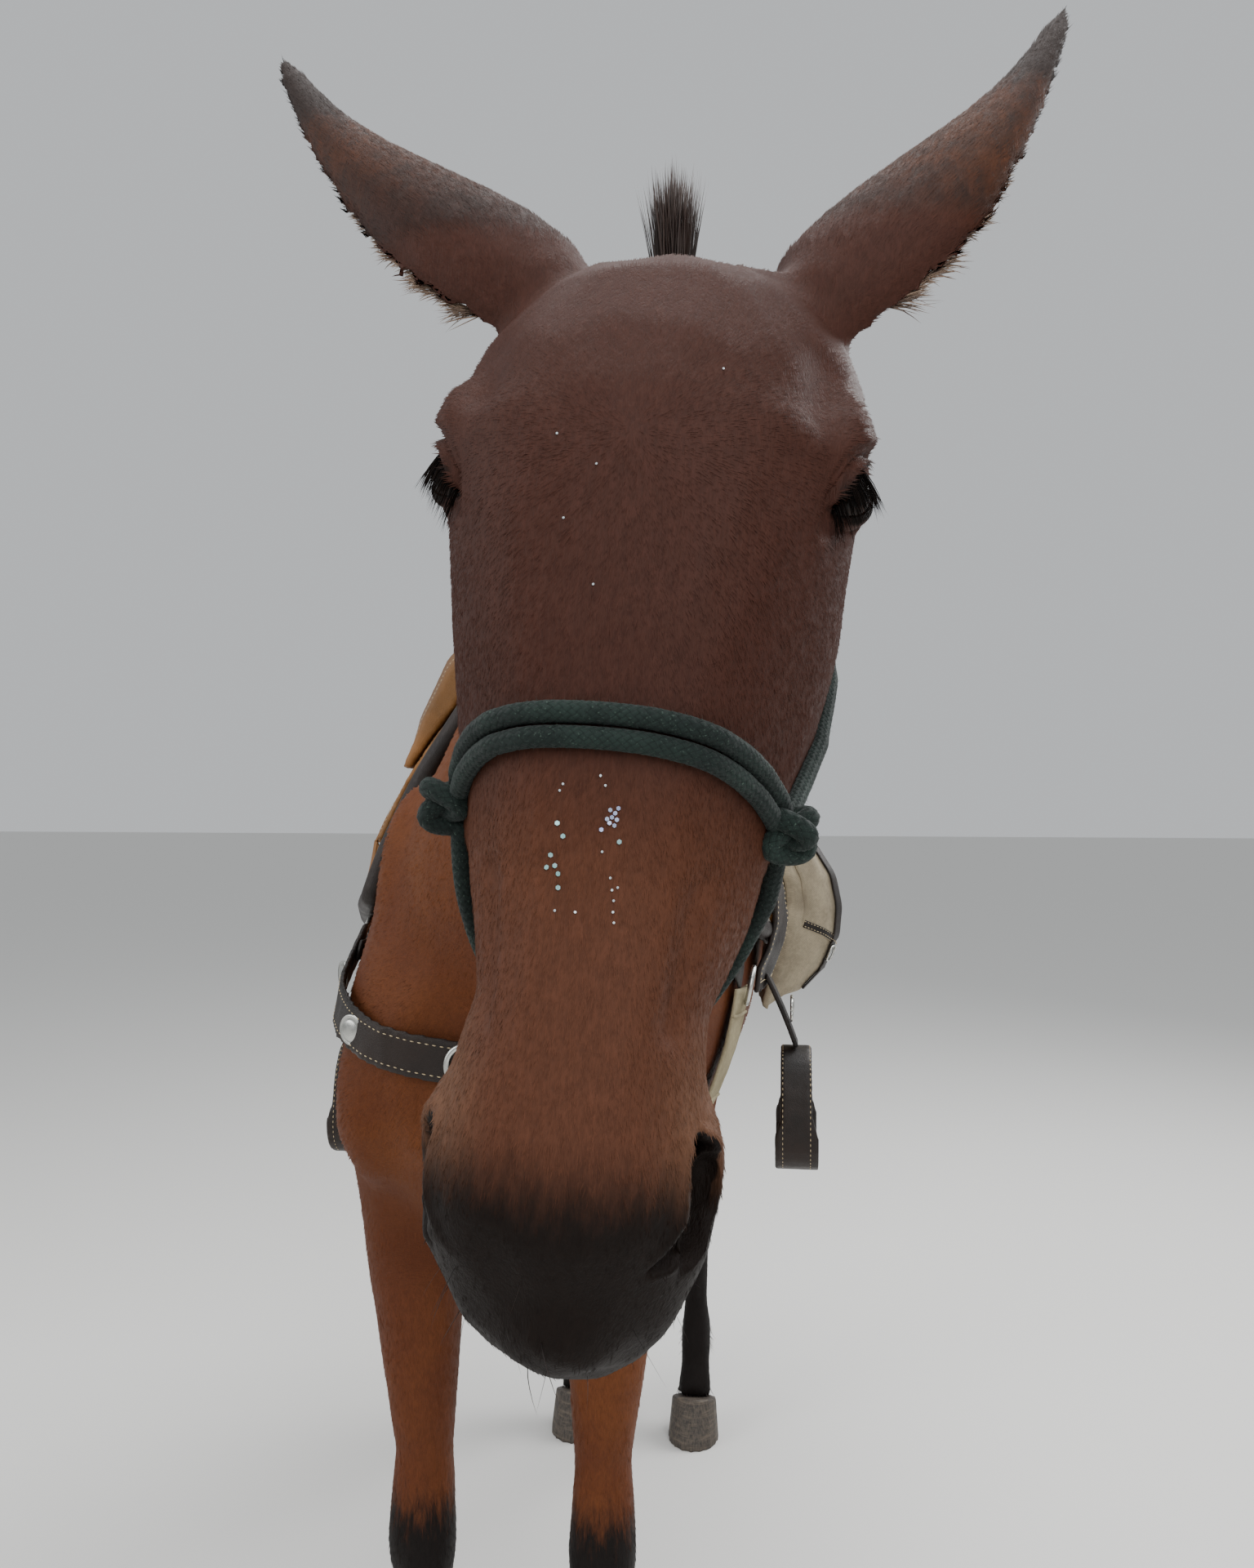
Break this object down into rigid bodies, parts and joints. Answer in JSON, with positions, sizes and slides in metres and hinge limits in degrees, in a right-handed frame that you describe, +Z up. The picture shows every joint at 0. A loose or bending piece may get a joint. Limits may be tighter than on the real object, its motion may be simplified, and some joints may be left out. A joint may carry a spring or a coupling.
{
  "type": "saddled mule",
  "caption": "Life-size standing mule with its head lowered and turned, wearing a rope halter, a stock saddle on a felt pad, a breast strap and soft saddlebags; a display animal.",
  "frame": {"origin": "middle of the model's box in plan, at the level of the hoof soles", "axes": "+Z up, -Y the way the animal faces, +X its left side"},
  "size_m": [0.888, 2.294, 1.8167],
  "materials": {
    "coat": "short brown hair over hide, darker towards the feet",
    "hair": "coarse black hair",
    "hoof": "dark hoof horn, dull",
    "eye": "dark, wet and glossy",
    "rope": "braided dark green cord, fuzzy",
    "felt": "pale grey-beige pressed felt",
    "tan_leather": "oiled brown saddle leather",
    "dark_leather": "black harness leather, worn",
    "canvas": "pale beige woven canvas",
    "steel": "plated steel, polished"
  },
  "bodies": {
    "root": {"head": "coat", "neck": "coat", "torso": "coat", "ear_left": "coat", "ear_right": "coat", "foreleg_left": "coat", "foreleg_right": "coat", "hindleg_left": "coat", "hindleg_right": "coat", "tail": "hair", "hoof_fore_left": "hoof", "hoof_fore_right": "hoof", "hoof_hind_left": "hoof", "hoof_hind_right": "hoof", "eye_left": "eye", "eye_right": "eye", "noseband_upper": "rope", "noseband_lower": "rope", "nose_knot_left": "rope", "nose_knot_right": "rope", "cheek_rope_left": "rope", "cheek_rope_right": "rope", "cheek_knot_left": "rope", "cheek_knot_right": "rope", "chin_rope_left": "rope", "chin_rope_right": "rope", "chin_knot": "rope", "crown_rope": "rope", "throat_rope": "rope", "saddle_pad": "felt", "saddle_skirts": "tan_leather", "saddle_seat": "tan_leather", "saddle_horn": "dark_leather", "fender_left": "dark_leather", "fender_right": "dark_leather", "stirrup_left": "dark_leather", "stirrup_right": "dark_leather", "stirrup_leather_left": "dark_leather", "stirrup_leather_right": "dark_leather", "breast_collar": "dark_leather", "saddlebag_left": "canvas", "saddlebag_right": "canvas", "saddlebag_yoke": "canvas", "cinch": "canvas", "rigging_ring_left": "steel", "rigging_ring_right": "steel"}
  },
  "joints": []
}
